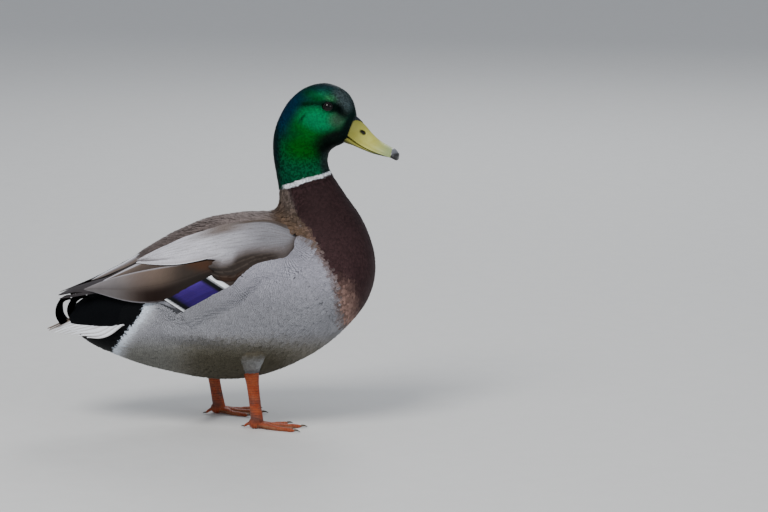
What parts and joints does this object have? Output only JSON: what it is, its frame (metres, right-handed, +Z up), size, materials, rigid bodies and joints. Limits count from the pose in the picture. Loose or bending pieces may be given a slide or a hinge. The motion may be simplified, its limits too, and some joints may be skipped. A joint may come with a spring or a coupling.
{
  "type": "mallard drake",
  "caption": "Life-size museum-type model of a standing mallard drake, head turned slightly to its right, wings folded, webbed feet flat on the floor.",
  "frame": {"origin": "on the floor under the middle of the duck's length and width", "axes": "+X ahead, along the body towards the bill; +Y to the duck's left; +Z up"},
  "size_m": [0.3704, 0.1426, 0.3599],
  "materials": {
    "head_feathers": "glossy iridescent green feathers",
    "ring_feathers": "soft white feathers",
    "breast_feathers": "soft purplish chestnut feathers",
    "body_feathers": "soft pale grey feathers with fine wavy barring",
    "rump_feathers": "velvety black feathers",
    "wing_feathers": "smooth grey-brown feathers",
    "tail_feathers": "smooth white and grey-brown feathers",
    "curl_feathers": "glossy black feathers",
    "leg_skin": "scaly orange skin",
    "claw": "dark horn",
    "bill": "smooth olive-yellow horn",
    "bill_nail": "smooth black horn",
    "eye": "wet dark brown eye"
  },
  "bodies": {
    "root": {"rump": "rump_feathers", "trunk": "body_feathers", "breast": "breast_feathers", "neck": "breast_feathers", "neck_ring": "ring_feathers", "head": "head_feathers", "thigh_left": "body_feathers", "thigh_right": "body_feathers", "wing_left": "wing_feathers", "wing_right": "wing_feathers", "tail": "tail_feathers", "curl_inner_left": "curl_feathers", "curl_inner_right": "curl_feathers", "curl_outer_left": "curl_feathers", "curl_outer_right": "curl_feathers", "bill_upper": "bill", "bill_lower": "bill", "bill_nail": "bill_nail", "eye_left": "eye", "eye_right": "eye", "leg_left": "leg_skin", "leg_right": "leg_skin", "foot_left": "leg_skin", "foot_right": "leg_skin", "claw_left_inner": "claw", "claw_left_middle": "claw", "claw_left_outer": "claw", "claw_left_hind": "claw", "claw_right_inner": "claw", "claw_right_middle": "claw", "claw_right_outer": "claw", "claw_right_hind": "claw"}
  },
  "joints": []
}
